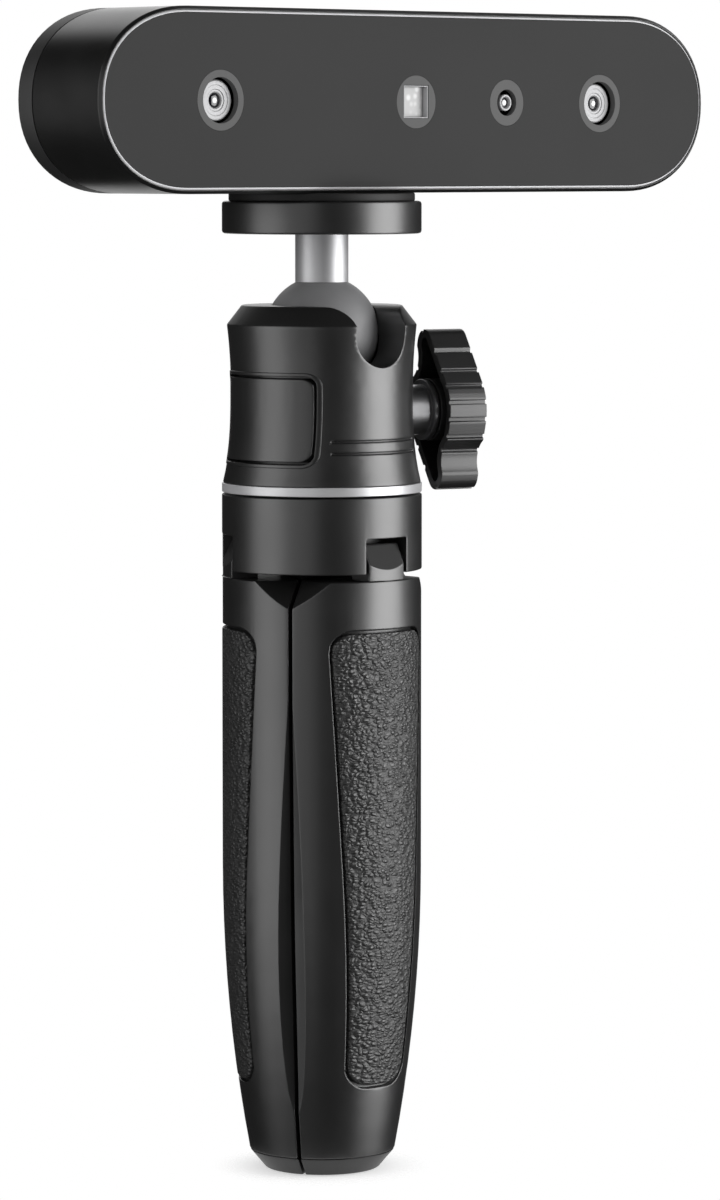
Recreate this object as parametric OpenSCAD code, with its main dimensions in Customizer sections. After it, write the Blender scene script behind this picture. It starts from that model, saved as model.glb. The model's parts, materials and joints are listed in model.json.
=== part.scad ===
// Structured-light scanner bar on a folding mini tripod with a ball head.
// Millimetres. Up is +Z, the scanner looks along -Y, +X is to the right of its front.
// The origin is on the tripod axis, on the surface that the closed feet stand on.

/* [Scanner bar] */
// Length of the scanner bar
bar_length = 171.5; // [160:0.5:190]
// Height of the scanner bar
bar_height = 38; // [36:0.5:42]
// Depth of the scanner bar, front edge to back
bar_depth = 26.4; // [25.4:0.2:32]
// Length of each curved end
end_run = 23.6; // [18:0.2:25]
// Fullness of the curved ends, 2 is an ellipse
end_power = 2.17; // [2:0.01:2.8]
// Wall of the sleeve
sleeve_wall = 1.8; // [1.5:0.1:2.2]
// Depth of the rear cover behind the seam
cover_depth = 4.8; // [4:0.2:6]
// Sideways distance of the bar centre from the tripod axis
bar_offset = 15; // [8:0.2:18]
// Black lip outside the bright trim
lip_width = 0.75; // [0.5:0.05:0.9]
// Width of the bright trim
trim_width = 0.5; // [0.3:0.05:0.6]

/* [Scanner optics] */
// Distance of each depth camera from its end of the bar
camera_inset = 31.8; // [30.6:0.1:35]
// Distance of the colour camera from the bar centre
color_offset = 26.2; // [22:0.2:32]
// Outer radius of a depth camera ring
camera_ring_r = 6.2; // [5.6:0.1:7]
// Outer radius of the projector ring
projector_ring_r = 5.55; // [5.2:0.05:6.4]
// Outer radius of the colour camera ring
color_ring_r = 4.9; // [4.4:0.1:5.6]
// Side of the square projector emitter
emitter_side = 6.2; // [5:0.1:6.6]

/* [Platform and ball] */
// Radius of the platform disc
platform_r = 21; // [18:0.1:21.4]
// Height of the platform disc
platform_height = 6.8; // [6.6:0.1:9]
// Height of the rubber platform pad
pad_height = 1.7; // [1:0.1:3]
// Radius of the polished stem
stem_r = 5.6; // [4.6:0.05:5.7]
// Height of the platform above the ball centre
neck_rise = 21; // [20.9:0.1:24]
// Radius of the ball
ball_r = 12.1; // [11.6:0.05:12.3]
// Radius of the camera screw
mount_screw_r = 3.1; // [2.8:0.05:3.4]

/* [Head] */
// Height of the ball centre above the foot of the head
head_rise = 31.3; // [30.8:0.1:36]
// Radius of the head below its chamfered rim
head_r = 20; // [19.4:0.1:20.4]
// Radius of the head at its waist
waist_r = 19.2; // [19:0.05:19.6]
// Radius of the head at its foot
head_foot_r = 20.9; // [20:0.1:21]
// Height of the rim above the ball centre
rim_rise = 6; // [5.4:0.1:6.4]
// Outer radius of the rim
rim_r = 16.85; // [15.5:0.05:18]
// Width of the notch that the stem drops into
notch_width = 13.4; // [12.2:0.1:14]

/* [Clamp knob] */
// Direction of the knob, degrees round from the front
knob_angle = 75; // [73:1:80]
// Depth of the knob axis below the ball centre
knob_drop = 16.6; // [15.9:0.1:16.6]
// Distance of the knob back from the tripod axis
knob_reach = 25.6; // [25.4:0.1:28]
// Thickness of the knob
knob_thick = 8.8; // [7.6:0.1:9.6]
// Reach of a knob wing from the knob axis
knob_wing = 17.2; // [15:0.1:17.4]

/* [Release button] */
// Width of the release button
button_width = 27.4; // [20:0.2:28]
// Height of the release button
button_height = 18.3; // [15:0.1:18.6]
// Inward travel of the release button
button_travel = 1.6; // [0.8:0.1:1.6]

/* [Hub and legs] */
// Height of the hub underside above the floor
hub_level = 127.6; // [120:0.2:140]
// Radius of the hub
hub_r = 21.1; // [20.8:0.1:21.6]
// Height of the hub
hub_height = 15.9; // [15:0.1:20]
// Width of the hub slots
slot_width = 11.2; // [10:0.1:11.4]
// Radius of the closed legs
leg_r = 21; // [20.4:0.1:21.2]
// Radius of the closed legs above the feet
ankle_r = 15.4; // [14:0.1:17]
// Height at which the legs start to taper
taper_level = 65; // [50:1:80]
// Gap between neighbouring closed legs
slit = 0.8; // [0.3:0.05:1]
// Depth of the hinge pins below the surface of the closed legs
pivot_inset = 3.3; // [3.1:0.05:3.4]
// Radius of the hinge pins
pin_r = 1.1; // [0.9:0.05:1.2]
// Height of a foot
foot_height = 4; // [3:0.1:5]

/* [Grip pads] */
// Level of the lower end of a grip pad
grip_low = 19; // [17:0.5:24]
// Level of the upper end of a grip pad
grip_high = 116; // [100:0.5:116]
// Half width of a grip pad near its top
grip_top_half = 12.8; // [11:0.1:13.4]
// Half width of a grip pad near its bottom
grip_low_half = 8.3; // [7:0.1:9]

/* [Fits] */
// Gap between parts that are fixed to each other
fit = 0.05; // [0.02:0.01:0.08]
// Radial clearance of a shaft that turns or slides
running = 0.05; // [0.03:0.01:0.08]
// Gap between parts that move past each other
clear = 0.3; // [0.25:0.05:0.4]

/* [Hidden] */
$fn = 96;

// Levels, built up from the floor
hub_top = hub_level + hub_height;
swivel_gap = 0.4;
ring_height = 2;
ring_level = hub_top + swivel_gap;
head_level = ring_level + ring_height;
ball_level = head_level + head_rise;
platform_level = ball_level + neck_rise;
pad_level = platform_level + platform_height;
bar_low = pad_level + pad_height;
bar_mid = bar_low + bar_height / 2;

// Directions of the legs, degrees round from the front
leg_angles = [0, 120, -120];
button_angle = -90;

// Depths inside the bar, counted back from its front edge
trim_depth = 1.6;
window_recess = 0.2;
window_depth = trim_depth - window_recess;
barrel_front = trim_depth + 0.1;
barrel_length = 3.3;
block_front = barrel_front + barrel_length;
seam_depth = bar_depth - cover_depth;
board_room = 4.5;
board_back = seam_depth - board_room;
board_thick = 1.6;
board_front = board_back - board_thick;
spacer_length = 3;
plate_back = board_front - spacer_length;
plate_thick = 2.5;
plate_front = plate_back - plate_thick;
seam_gap = 0.25;
cover_plate = 2.2;
spigot_length = 1.8;
post_end = seam_depth - spigot_length - 0.2;

// Sizes inside the bar
window_inset = lip_width + trim_width + fit;
block_side = 15;
camera_span = bar_length - 2 * camera_inset;
post_r = 3;
post_x = bar_length / 2 - end_run - 10;
post_z = bar_height / 2 - sleeve_wall - 2.2;
plate_half_x = max(camera_span / 2 + block_side / 2 + 0.5, post_x + post_r);
plate_half_z = bar_height / 2 - sleeve_wall - 0.4;
board_half_x = post_x + 4;
board_half_z = post_z - post_r - 0.6;
spacer_x = board_half_x - 14;
spacer_z = board_half_z - 3;
bush_r = 5;
bush_length = 6;
plate_screw_r = 1.25;
plate_screw_head_r = 2;
plate_screw_depth = 4;
spacer_r = 2;
socket_inset = 18;
socket_x = bar_length / 2 - end_run - socket_inset;
socket_half_w = 4.9;
socket_half_h = 2;
socket_wall = 0.5;
scan_button_r = 6.5;
scan_travel = 0.8;
light_x = 15;
light_r = 1.2;

// Optic radii
camera_hole_r = camera_ring_r - 1.5;
camera_barrel_r = camera_hole_r - 0.5;
camera_pupil_r = 1.5;
color_hole_r = color_ring_r - 2.1;
color_barrel_r = color_hole_r - 0.4;
color_pupil_r = 1.1;
left_x = -camera_span / 2;
right_x = camera_span / 2;

// Platform details
pad_r = platform_r - 1.4;
spigot_r = 3.5;
spigot_rise = 3.4;
screw_head_r = 6;
screw_head_level = platform_level + spigot_rise + 0.7;

// Head details
seat_gap = 0.15;
bore_r = ball_r + 0.3;
cup_r = bore_r - fit;
cup_low = ball_level - ball_r - 1.3;
cup_high = ball_level - notch_width / 2 - 0.5;
block_high = cup_low - 0.1;
block_height = 8;
block_low = block_high - block_height;
base_low = ring_level + 0.2;
base_floor = head_level + 4.1;
base_rim_r = bore_r - 1.6;
post_shaft_r = 6;
post_seat = 11;
post_thread = 7;
washer_level = base_floor + 0.2;
washer_height = 1.2;
washer_r = base_rim_r - 1.2;
waist_level = head_level + 0.64 * head_rise;
shoulder_level = ball_level + 1.9;
rim_level = ball_level + rim_rise;
mouth_r = sqrt(pow(ball_r + seat_gap, 2) - rim_rise * rim_rise);
notch_round = mouth_r - notch_width / 2 - 0.05;

// Knob details
knob_level = ball_level - knob_drop;
clamp_screw_r = 3;
clamp_tip_r = 1.8;
bush_outer_r = 5.35;
bush_seat = bore_r + 4.4;
bush_flange_r = 6.5;
bush_end = knob_reach - 0.9;
knob_core_r = 9.6;
knob_tip_r = 3.2;
knob_wall = 1.8;
knob_round = 1.2;
groove_count = 16;
groove_width = 0.9;
groove_depth = 0.6;
thinnest_ridge = 0.2;
knob_hub_r = 6.6;
knob_socket = 5;
knob_lobe = 80;
knob_scallop = 47;

// Release button details
button_level = ball_level - notch_width / 2 - 10.85;
button_gap = 0.55;
button_inner_r = waist_r - 3;
button_floor_r = button_inner_r - button_travel - 0.4;
button_skin_r = waist_r - 1.5;
button_flange = 1.1;
latch_level = base_floor + 3.4;
latch_r = 1.5;

// Hub and leg details
leg_top = hub_level - 1.5;
pivot_level = hub_level + 3.2;
pivot_r = min(leg_r, hub_r - 0.1) - pivot_inset;
slot_high = 7.4;
slot_floor_r = pivot_r - 3.5;
pin_half = 8;
tongue_half = slot_width / 2 - 0.7;
tongue_r = 3;
tongue_lean = 2.75;
tongue_flat = 2.5;
core_r = 6;
cone_low = hub_level - 9.6;
cone_top_r = 15;
cone_tip_r = 2.4;
cone_peg_r = 4;
cone_peg_rise = 2.6;
leg_drop = leg_r - ankle_r;
leg_run = taper_level - foot_height;
taper_r = (leg_run * leg_run + leg_drop * leg_drop) / (2 * leg_drop);
sole_inset = 3.3;
sole_r = ankle_r - sole_inset;
sole_gap = 0.5;
grip_thick = 1.5;
grip_gap = 0.7;
grip_corner_top = 4.6;
grip_corner_low = 5.5;
shell_wall = grip_thick + 2;
side_wall = 2.2;
web_half = 1.1;
cell_low = foot_height + 12;
cell_high = hub_level - 12;
cell_rows = 5;
rib = 1.8;
cell_step = (cell_high - cell_low) / cell_rows;
shoulder_half = 12.4;
shoulder_cut = 6.7;
bevel_depth = 1.55;
peg_r = 2;
peg_x = 8;
peg_sink = 1;
peg_length = 5.5;

// Turns a feature that faces the front to another direction
module at(angle) {
    rotate([0, 0, angle])
        children();
}

// Lays a feature so that its height points out of the front
module facing() {
    rotate([90, 0, 0])
        children();
}

module each_leg() {
    for (angle = leg_angles)
        at(angle)
            children();
}

// Outline of the bar

function bar_x(inset, t) = bar_length / 2 - end_run + (end_run - inset) * pow(cos(t), 2 / end_power);
function bar_z(inset, t) = (bar_height / 2 - inset) * pow(sin(t), 2 / end_power);
bar_steps = 18;
function bar_points(inset) = let (s = 90 / bar_steps) concat(
    [for (i = [0 : bar_steps]) [bar_x(inset, i * s), bar_z(inset, i * s)]],
    [for (i = [bar_steps : -1 : 0]) [-bar_x(inset, i * s), bar_z(inset, i * s)]],
    [for (i = [1 : bar_steps]) [-bar_x(inset, i * s), -bar_z(inset, i * s)]],
    [for (i = [bar_steps : -1 : 1]) [bar_x(inset, i * s), -bar_z(inset, i * s)]]);

// Moves a feature to the bar centre, with y counted back from the front edge
module in_bar() {
    translate([bar_offset, -bar_depth / 2, bar_mid])
        children();
}

module bar_slab(inset, front, back) {
    translate([0, back, 0])
        facing()
            linear_extrude(back - front)
                polygon(bar_points(inset));
}

// A round feature along the depth of the bar
module bar_rod(x, z, r, front, back) {
    translate([x, back, z])
        facing()
            cylinder(r = r, h = back - front);
}

// A square feature along the depth of the bar
module bar_block(x, z, half_x, half_z, front, back) {
    translate([x - half_x, front, z - half_z])
        cube([2 * half_x, back - front, 2 * half_z]);
}

module at_posts() {
    for (x = [-post_x, post_x])
        for (z = [-post_z, post_z])
            translate([x, 0, z])
                children();
}

// Scanner body

module scanner_sleeve() {
    color("#1c1c1e")
        in_bar()
            difference() {
                union() {
                    difference() {
                        bar_slab(0, 0, seam_depth);
                        bar_slab(sleeve_wall, -1, seam_depth + 1);
                        bar_slab(lip_width, -1, trim_depth);
                    }
                    at_posts()
                        bar_rod(0, 0, post_r, plate_back + fit, post_end);
                    intersection() {
                        bar_slab(sleeve_wall / 2, trim_depth + 0.4, post_end);
                        translate([-bar_offset, bar_depth / 2, -bar_height / 2])
                            cylinder(r = bush_r + 2.4, h = bush_length + 0.6);
                    }
                }
                translate([-bar_offset, bar_depth / 2, -bar_height / 2 - 1])
                    cylinder(r = bush_r + fit, h = bush_length + 1);
                at_posts() {
                    bar_rod(0, 0, plate_screw_r + fit, plate_back - 1, plate_back + plate_screw_depth + 0.2);
                    bar_rod(0, 0, 1.3, post_end - 2.4, post_end + 1);
                }
            }
}

module rear_cover() {
    color("#1a1a1c")
        in_bar()
            difference() {
                union() {
                    difference() {
                        bar_slab(0, seam_depth + seam_gap, bar_depth);
                        bar_slab(sleeve_wall + 1, seam_depth - 1, bar_depth - cover_plate);
                    }
                    difference() {
                        bar_slab(sleeve_wall + fit, seam_depth - spigot_length, bar_depth - cover_plate);
                        bar_slab(sleeve_wall + 1.2, seam_depth - 3, bar_depth - cover_plate + 1);
                    }
                    intersection() {
                        at_posts()
                            bar_rod(0, 0, post_r - 0.1, post_end + fit, bar_depth - 1);
                        bar_slab(sleeve_wall + fit, post_end, bar_depth);
                    }
                }
                at_posts() {
                    bar_rod(0, 0, 1.4, post_end - 1, bar_depth + 1);
                    bar_rod(0, 0, 2.5, bar_depth - 1.7, bar_depth + 1);
                }
                bar_rod(0, 0, scan_button_r + clear, seam_depth, bar_depth + 1);
                bar_rod(light_x, 0, light_r + fit, seam_depth, bar_depth + 1);
                socket_body(socket_half_w + 0.15, socket_half_h + 0.15, seam_depth, bar_depth + 1);
            }
}

module cover_screws() {
    color("#8c8f94")
        in_bar()
            at_posts()
                difference() {
                    union() {
                        bar_rod(0, 0, 2.4, bar_depth - 1.65, bar_depth - 0.2);
                        bar_rod(0, 0, 1.25, post_end - 2.2, bar_depth - 1.65);
                    }
                    translate([0, bar_depth + 0.1, 0])
                        facing()
                            cylinder(r = 1.1, h = 1, $fn = 6);
                }
}

module trim_ring() {
    color("#dcdfe2")
        in_bar()
            difference() {
                bar_slab(lip_width + fit / 2, 0, trim_depth);
                bar_slab(lip_width + trim_width, -1, trim_depth + 1);
            }
}

module front_window() {
    color("#454547")
        in_bar()
            difference() {
                bar_slab(window_inset, window_recess, trim_depth);
                bar_rod(left_x, 0, camera_ring_r + fit, -1, trim_depth + 1);
                bar_rod(right_x, 0, camera_ring_r + fit, -1, trim_depth + 1);
                bar_rod(0, 0, projector_ring_r + fit, -1, trim_depth + 1);
                bar_rod(color_offset, 0, color_ring_r + fit, -1, trim_depth + 1);
            }
}

// Optics

module ring_at(x, r, hole_r) {
    color("#77787a")
        in_bar()
            difference() {
                bar_rod(x, 0, r, window_recess, trim_depth);
                bar_rod(x, 0, hole_r, -1, trim_depth + 1);
            }
}

module left_camera_ring() {
    ring_at(left_x, camera_ring_r, camera_hole_r);
}

module right_camera_ring() {
    ring_at(right_x, camera_ring_r, camera_hole_r);
}

module color_camera_ring() {
    ring_at(color_offset, color_ring_r, color_hole_r);
}

module projector_ring() {
    color("#77787a")
        in_bar()
            difference() {
                bar_rod(0, 0, projector_ring_r, window_recess, trim_depth);
                bar_block(0, 0, emitter_side / 2 + 0.4, emitter_side / 2 + 0.4, -1, trim_depth + 1);
            }
}

module barrel_at(x, r, hole_r) {
    in_bar()
        difference() {
            bar_rod(x, 0, r, barrel_front, block_front);
            bar_rod(x, 0, hole_r, barrel_front - 1, barrel_front + 2.2);
        }
}

module left_camera_barrel() {
    color("#c9cccf")
        barrel_at(left_x, camera_barrel_r, camera_pupil_r + fit);
}

module right_camera_barrel() {
    color("#c9cccf")
        barrel_at(right_x, camera_barrel_r, camera_pupil_r + fit);
}

module color_camera_barrel() {
    color("#c9cccf")
        barrel_at(color_offset, color_barrel_r, color_pupil_r + fit);
}

module lens_at(x, r) {
    color("#20242c")
        in_bar()
            bar_rod(x, 0, r, barrel_front + 0.4, barrel_front + 2.2);
}

module left_camera_lens() {
    lens_at(left_x, camera_pupil_r);
}

module right_camera_lens() {
    lens_at(right_x, camera_pupil_r);
}

module color_camera_lens() {
    lens_at(color_offset, color_pupil_r);
}

module camera_blocks() {
    color("#303236")
        in_bar() {
            bar_block(left_x, 0, block_side / 2, block_side / 2, block_front, plate_front);
            bar_block(right_x, 0, block_side / 2, block_side / 2, block_front, plate_front);
            bar_block(color_offset, 0, 6, 6, block_front, plate_front);
        }
}

module projector_block() {
    color("#303236")
        in_bar()
            bar_block(0, 0, 7, 7, barrel_front + 0.6, plate_front);
}

module projector_emitter() {
    color("#eef0f2")
        in_bar()
            bar_block(0, 0, emitter_side / 2, emitter_side / 2, barrel_front, barrel_front + 0.6);
}

module optics_plate() {
    color("#9a9da2")
        in_bar()
            difference() {
                bar_block(0, 0, plate_half_x, plate_half_z, plate_front, plate_back);
                at_posts()
                    bar_rod(0, 0, 1.4, plate_front - 1, plate_back + 1);
                translate([-bar_offset, bar_depth / 2, -bar_height / 2])
                    cylinder(r = bush_r + 3, h = bush_length + 1.4);
            }
}

module plate_screws() {
    color("#8c8f94")
        in_bar()
            at_posts() {
                bar_rod(0, 0, plate_screw_head_r, plate_front - 1.5, plate_front);
                bar_rod(0, 0, plate_screw_r, plate_front, plate_back + plate_screw_depth);
            }
}

module main_board() {
    color("#1f4a33")
        in_bar()
            bar_block(0, 0, board_half_x, board_half_z, board_front, board_back);
}

module board_spacers() {
    color("#b0935a")
        in_bar()
            for (x = [-spacer_x, spacer_x])
                for (z = [-spacer_z, spacer_z])
                    bar_rod(x, z, spacer_r, plate_back, board_front);
}

// Connector, button and light on the back

module socket_body(half_w, half_h, front, back) {
    for (x = [half_h - half_w, half_w - half_h])
        bar_rod(socket_x + x, 0, half_h, front, back);
    bar_block(socket_x, 0, half_w - half_h, half_h, front, back);
}

module usb_socket() {
    color("#b8bbc0")
        in_bar() {
            difference() {
                socket_body(socket_half_w, socket_half_h, board_back, bar_depth - 0.3);
                socket_body(socket_half_w - socket_wall, socket_half_h - socket_wall, board_back + 2, bar_depth);
            }
            bar_block(socket_x, 0, 3.2, 0.35, board_back + 1.5, bar_depth - 1.2);
        }
}

module scan_button() {
    color("#2a2a2d")
        in_bar() {
            bar_rod(0, 0, scan_button_r, bar_depth - cover_plate - clear - 0.5, bar_depth);
            bar_rod(0, 0, scan_button_r + 1.2, bar_depth - cover_plate - clear - 1, bar_depth - cover_plate - clear);
        }
}

module button_switch() {
    color("#0f0f10")
        in_bar() {
            bar_block(0, 0, 3, 3, board_back, board_back + 3.4);
            bar_rod(0, 0, 1.6, board_back + 3.3, bar_depth - cover_plate - clear - 1 - scan_travel - 0.1);
        }
}

module status_light() {
    color("#cfe8d4")
        in_bar()
            bar_rod(light_x, 0, light_r, bar_depth - cover_plate, bar_depth);
}

module tripod_bush() {
    color("#b0935a")
        translate([0, 0, bar_low])
            difference() {
                cylinder(r = bush_r, h = bush_length - 0.1);
                translate([0, 0, -1])
                    cylinder(r = mount_screw_r + fit, h = bush_length + 0.2);
            }
}

// Platform

module platform_disc() {
    color("#1d1d1f")
        difference() {
            translate([0, 0, platform_level])
                cylinder(r = platform_r, h = platform_height);
            translate([0, 0, platform_level - 1])
                cylinder(r = spigot_r + running, h = spigot_rise + 1.1);
            translate([0, 0, screw_head_level])
                cylinder(r = screw_head_r + fit, h = platform_height);
        }
}

module platform_pad() {
    color("#101011")
        difference() {
            translate([0, 0, pad_level])
                cylinder(r = pad_r, h = pad_height);
            translate([0, 0, pad_level - 1])
                cylinder(r = mount_screw_r + fit, h = pad_height + 2);
        }
}

module mount_screw() {
    color("#a8abaf") {
        translate([0, 0, screw_head_level])
            cylinder(r = screw_head_r, h = pad_level - screw_head_level);
        translate([0, 0, pad_level])
            cylinder(r = mount_screw_r, h = pad_height + bush_length - 1);
    }
}

// Stem and ball

module ball_stem() {
    color("#d5d7da")
        difference() {
            union() {
                translate([0, 0, ball_level])
                    cylinder(r = stem_r, h = neck_rise - 0.1);
                translate([0, 0, platform_level - 1])
                    cylinder(r = spigot_r, h = spigot_rise + 1);
            }
            translate([0, 0, ball_level])
                sphere(r = ball_r + running);
        }
}

module ball() {
    color("#6c6d70")
        translate([0, 0, ball_level])
            sphere(r = ball_r);
}

// Head

function head_low_r(z) = waist_r + (head_foot_r - waist_r) * pow(1 - (z - head_level) / (waist_level - head_level), 3);
function head_high_r(z) = waist_r + (head_r - waist_r) * pow((z - waist_level) / (shoulder_level - waist_level), 2);
head_steps = 8;
head_profile = concat(
    [[0, head_level]],
    [for (i = [0 : head_steps]) let (z = head_level + (waist_level - head_level) * i / head_steps) [head_low_r(z), z]],
    [for (i = [1 : head_steps]) let (z = waist_level + (shoulder_level - waist_level) * i / head_steps)
        [head_high_r(z), z]],
    [[rim_r, rim_level], [0, rim_level]]);

module head_turned() {
    rotate_extrude()
        polygon(head_profile);
}

corner_steps = 6;
function corner(x, y, r, start) = [for (i = [0 : corner_steps])
    [x + r * cos(start + 90 * i / corner_steps), y + r * sin(start + 90 * i / corner_steps)]];
function rounded(w, h, r) = concat(
    corner(w / 2 - r, h / 2 - r, r, 0), corner(r - w / 2, h / 2 - r, r, 90),
    corner(r - w / 2, r - h / 2, r, 180), corner(w / 2 - r, r - h / 2, r, 270));

module button_prism(w, h) {
    translate([0, 0, button_level])
        facing()
            linear_extrude(head_foot_r + 4)
                polygon(rounded(w, h, 2));
}

// A tube round the tripod axis that takes in the whole height of the button
module button_tube(inner, outer) {
    translate([0, 0, button_level - button_height])
        difference() {
            cylinder(r = outer, h = 2 * button_height);
            translate([0, 0, -1])
                cylinder(r = inner, h = 2 * button_height + 2);
        }
}

// One side of the notch, rounded over into the rim
notch_steps = 8;
notch_side = concat(
    [[notch_width / 2, 0]],
    [for (i = [0 : notch_steps]) let (t = 180 - 90 * i / notch_steps)
        [notch_width / 2 + notch_round * (1 + cos(t)), rim_rise - notch_round * (1 - sin(t))]],
    [[notch_width / 2 + notch_round, rim_rise + 1]]);
function mirrored(points) = [for (i = [len(points) - 1 : -1 : 0]) [-points[i][0], points[i][1]]];

module ball_housing() {
    color("#1d1d1f")
        difference() {
            head_turned();
            translate([0, 0, head_level - 1])
                cylinder(r = bore_r, h = ball_level - head_level + 1);
            translate([0, 0, ball_level])
                sphere(r = ball_r + seat_gap);
            translate([0, 0, ball_level])
                facing()
                    cylinder(r = notch_width / 2, h = head_r + 4);
            translate([0, 0, ball_level])
                facing()
                    linear_extrude(head_r + 4)
                        polygon(concat(notch_side, mirrored(notch_side)));
            at(button_angle) {
                intersection() {
                    button_prism(button_width, button_height);
                    button_tube(button_floor_r, 2 * head_r);
                }
                intersection() {
                    button_prism(button_width, button_height + 2 * button_flange + 2 * clear);
                    button_tube(button_floor_r, button_skin_r);
                }
                translate([0, 0, latch_level])
                    facing()
                        cylinder(r = latch_r + running, h = button_inner_r);
            }
            at(knob_angle)
                translate([0, 0, knob_level])
                    facing() {
                        cylinder(r = clamp_screw_r + clear, h = head_r + 4);
                        translate([0, 0, bush_seat - fit])
                            cylinder(r = bush_outer_r + fit, h = 10);
                    }
            for (level = [head_level + 6.6, head_level + 9.1])
                rotate([0, 0, -90 - 36])
                    rotate_extrude(angle = 72)
                        translate([head_low_r(level) - 0.4, level])
                            square([2, 0.5]);
        }
}

module ball_cup() {
    color("#3a3a3c")
        difference() {
            translate([0, 0, cup_low])
                cylinder(r = cup_r, h = cup_high - cup_low);
            translate([0, 0, ball_level])
                sphere(r = ball_r + seat_gap);
        }
}

module thrust_block() {
    color("#9a9da2")
        difference() {
            translate([0, 0, block_low])
                cylinder(r = cup_r, h = block_high - block_low);
            at(knob_angle)
                translate([0, 0, knob_level])
                    facing()
                        cylinder(r = clamp_tip_r + clear, h = head_r);
        }
}

module head_base() {
    color("#2a2a2d")
        difference() {
            translate([0, 0, base_low])
                cylinder(r = cup_r, h = block_low - fit - base_low);
            translate([0, 0, base_floor])
                cylinder(r = base_rim_r, h = head_rise);
            translate([0, 0, base_low - 1])
                cylinder(r = post_shaft_r + running, h = head_rise);
            at(button_angle)
                translate([0, 0, latch_level])
                    facing()
                        cylinder(r = latch_r + clear, h = head_r);
        }
}

module neck_ring() {
    color("#cfd2d5")
        translate([0, 0, ring_level])
            difference() {
                cylinder(r = hub_r, h = ring_height - fit);
                translate([0, 0, -1])
                    cylinder(r = bore_r, h = ring_height + 2);
            }
}

// Clamp knob

module knob_wings() {
    for (side = [0, 180])
        rotate(side)
            hull() {
                circle(r = knob_core_r, $fn = 64);
                rotate(knob_lobe)
                    translate([knob_wing - knob_tip_r, 0])
                        circle(r = knob_tip_r, $fn = 32);
            }
}

module knob_outline() {
    offset(r = knob_round, $fn = 32)
        offset(delta = -knob_round)
            difference() {
                knob_wings();
                for (side = [0, 180])
                    rotate(side + knob_scallop)
                        translate([15, 0])
                            circle(r = 5, $fn = 48);
            }
}

module knob_grooves() {
    for (i = [0 : groove_count - 1])
        rotate((i + 0.5) * 360 / groove_count)
            translate([0, -groove_width / 2])
                square([knob_wing + 2, groove_width]);
}

// The thin ridges that a groove leaves along a flank are taken off by the pair of offsets
module knob_grip_outline() {
    offset(delta = thinnest_ridge)
        offset(delta = -thinnest_ridge)
            difference() {
                knob_outline();
                difference() {
                    knob_grooves();
                    offset(delta = -groove_depth)
                        knob_outline();
                }
            }
}

// Places a feature on the knob axis, with its height counted out from the tripod axis
module on_knob() {
    at(knob_angle)
        translate([0, 0, knob_level])
            facing()
                children();
}

module knob_bush() {
    color("#b4b6b9")
        on_knob()
            difference() {
                union() {
                    translate([0, 0, bush_seat])
                        cylinder(r = bush_outer_r, h = bush_end - bush_seat);
                    translate([0, 0, bush_end - 1.2])
                        cylinder(r = bush_flange_r, h = 1.2);
                }
                cylinder(r = clamp_screw_r + running, h = bush_end + 1);
            }
}

module clamp_screw() {
    color("#a8abaf")
        on_knob() {
            translate([0, 0, 3])
                cylinder(r1 = 0.5, r2 = clamp_tip_r, h = 2.5);
            translate([0, 0, 5.5])
                cylinder(r = clamp_tip_r, h = bore_r - 4.5);
            translate([0, 0, bore_r + 1])
                cylinder(r = clamp_screw_r, h = knob_reach + knob_socket - bore_r - 1);
        }
}

module clamp_knob() {
    color("#1b1b1d")
        on_knob()
            difference() {
                union() {
                    translate([0, 0, knob_reach])
                        linear_extrude(knob_thick)
                            knob_grip_outline();
                    translate([0, 0, knob_reach - 0.5])
                        cylinder(r = knob_hub_r, h = knob_thick);
                }
                translate([0, 0, knob_reach - 1])
                    linear_extrude(knob_thick - 1.4)
                        difference() {
                            offset(delta = -knob_wall)
                                knob_outline();
                            circle(r = knob_hub_r);
                        }
                translate([0, 0, knob_reach - 1])
                    cylinder(r = clamp_screw_r + fit, h = knob_socket + 1 + fit);
            }
}

// Release button

module release_button() {
    color("#202022")
        at(button_angle)
            difference() {
                union() {
                    intersection() {
                        head_turned();
                        button_prism(button_width - 2 * button_gap, button_height - 2 * button_gap);
                        button_tube(button_inner_r, 2 * head_r);
                    }
                    intersection() {
                        button_prism(button_width - 2 * button_gap, button_height + 2 * button_flange);
                        button_tube(button_inner_r, button_skin_r - clear);
                    }
                }
                translate([0, 0, latch_level])
                    facing()
                        cylinder(r = latch_r + fit, h = button_inner_r + 1);
            }
}

module latch_pin() {
    color("#a8abaf")
        at(button_angle)
            translate([0, 0, latch_level])
                facing()
                    translate([0, 0, base_rim_r - 0.2])
                        cylinder(r = latch_r, h = button_inner_r + 0.9 - base_rim_r);
}

// Hub

module leg_hub() {
    color("#1d1d1f")
        difference() {
            translate([0, 0, hub_level])
                cylinder(r = hub_r, h = hub_height);
            each_leg() {
                translate([-slot_width / 2, -hub_r - 1, hub_level - 1])
                    cube([slot_width, hub_r + 1 - slot_floor_r, slot_high + 1]);
                translate([-pin_half, -pivot_r, pivot_level])
                    rotate([0, 90, 0])
                        cylinder(r = pin_r + fit, h = 2 * pin_half);
            }
            translate([0, 0, hub_top - post_seat])
                cylinder(r = post_shaft_r + fit, h = post_seat + 1);
            translate([0, 0, hub_level - 1])
                cylinder(r = cone_peg_r + fit, h = cone_peg_rise + 1);
        }
}

module cone_shape(gap) {
    rotate([0, 0, 90])
        translate([0, 0, cone_low - gap])
            cylinder(r1 = cone_tip_r + 2 * gap, r2 = cone_top_r + 2 * gap, h = hub_level - cone_low + gap, $fn = 3);
}

module hub_cone() {
    color("#141415")
        union() {
            cone_shape(0);
            translate([0, 0, hub_level - 1])
                cylinder(r = cone_peg_r, h = cone_peg_rise + 0.9);
        }
}

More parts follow.
